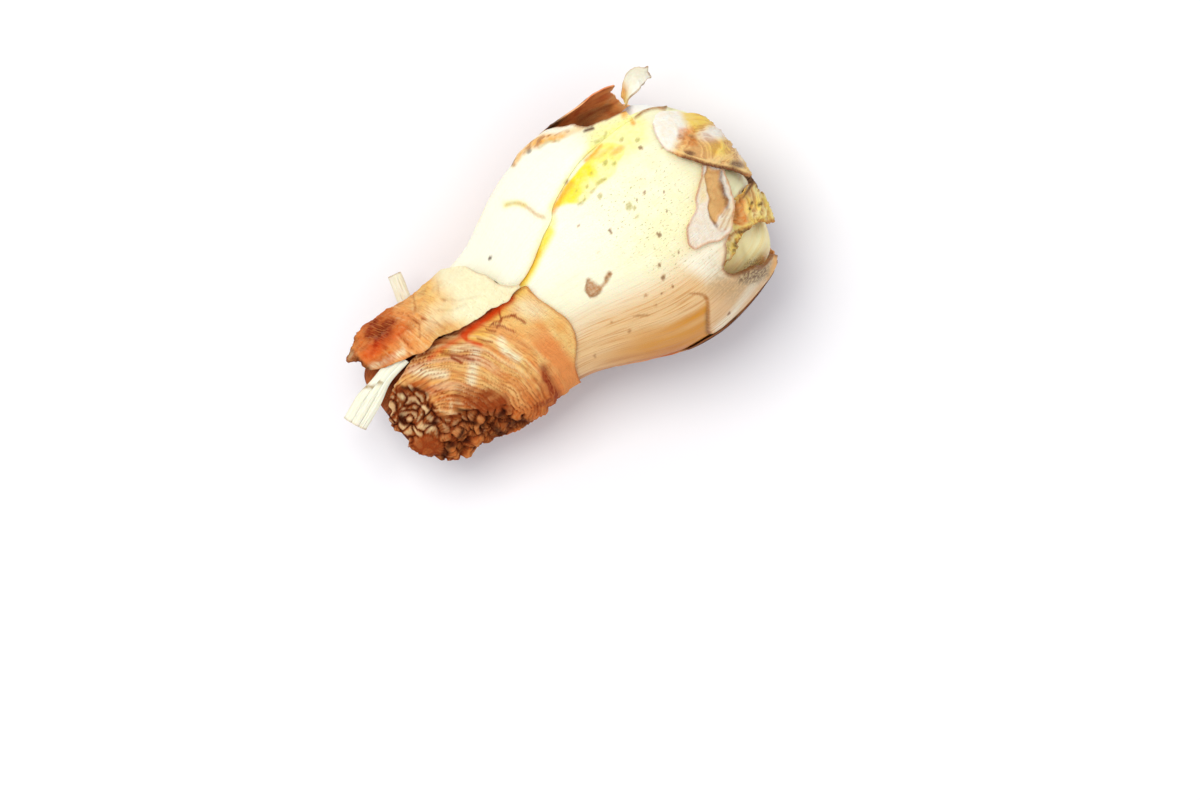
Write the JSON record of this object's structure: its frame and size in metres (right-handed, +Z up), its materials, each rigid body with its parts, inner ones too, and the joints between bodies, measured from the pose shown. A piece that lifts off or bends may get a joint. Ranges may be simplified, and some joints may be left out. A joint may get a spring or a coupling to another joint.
{
  "type": "squill bulb",
  "caption": "Whole squill bulb lying on its side, with fleshy white scales, a torn brown outer tunic, and a flattened neck of dry papery tunics.",
  "frame": {"origin": "on the surface that the bulb lies on, under the middle of its length and of its width", "axes": "+X along the bulb from its neck to its base, +Z up from the surface that it lies on"},
  "size_m": [0.108, 0.0614, 0.0551],
  "materials": {
    "flesh": "satin",
    "inner_flesh": "satin",
    "torn_flesh": "satin",
    "dried_skin": "matte",
    "brown_tunic": "matte",
    "dried_core": "matte",
    "tan_tunic": "matte",
    "straw": "matte",
    "cork": "matte"
  },
  "bodies": {
    "root": {"inner_bulb": "inner_flesh", "basal_plate": "cork", "front_scale": "flesh", "side_scale": "flesh", "torn_scale": "torn_flesh", "peeling_patch": "dried_skin", "back_tunic": "brown_tunic", "base_curl": "dried_skin", "papery_tip": "straw", "neck_core": "dried_core", "neck_tunic_front": "tan_tunic", "neck_tunic_side": "tan_tunic", "leaf_stub_long": "straw", "leaf_stub_short": "straw"}
  },
  "joints": []
}
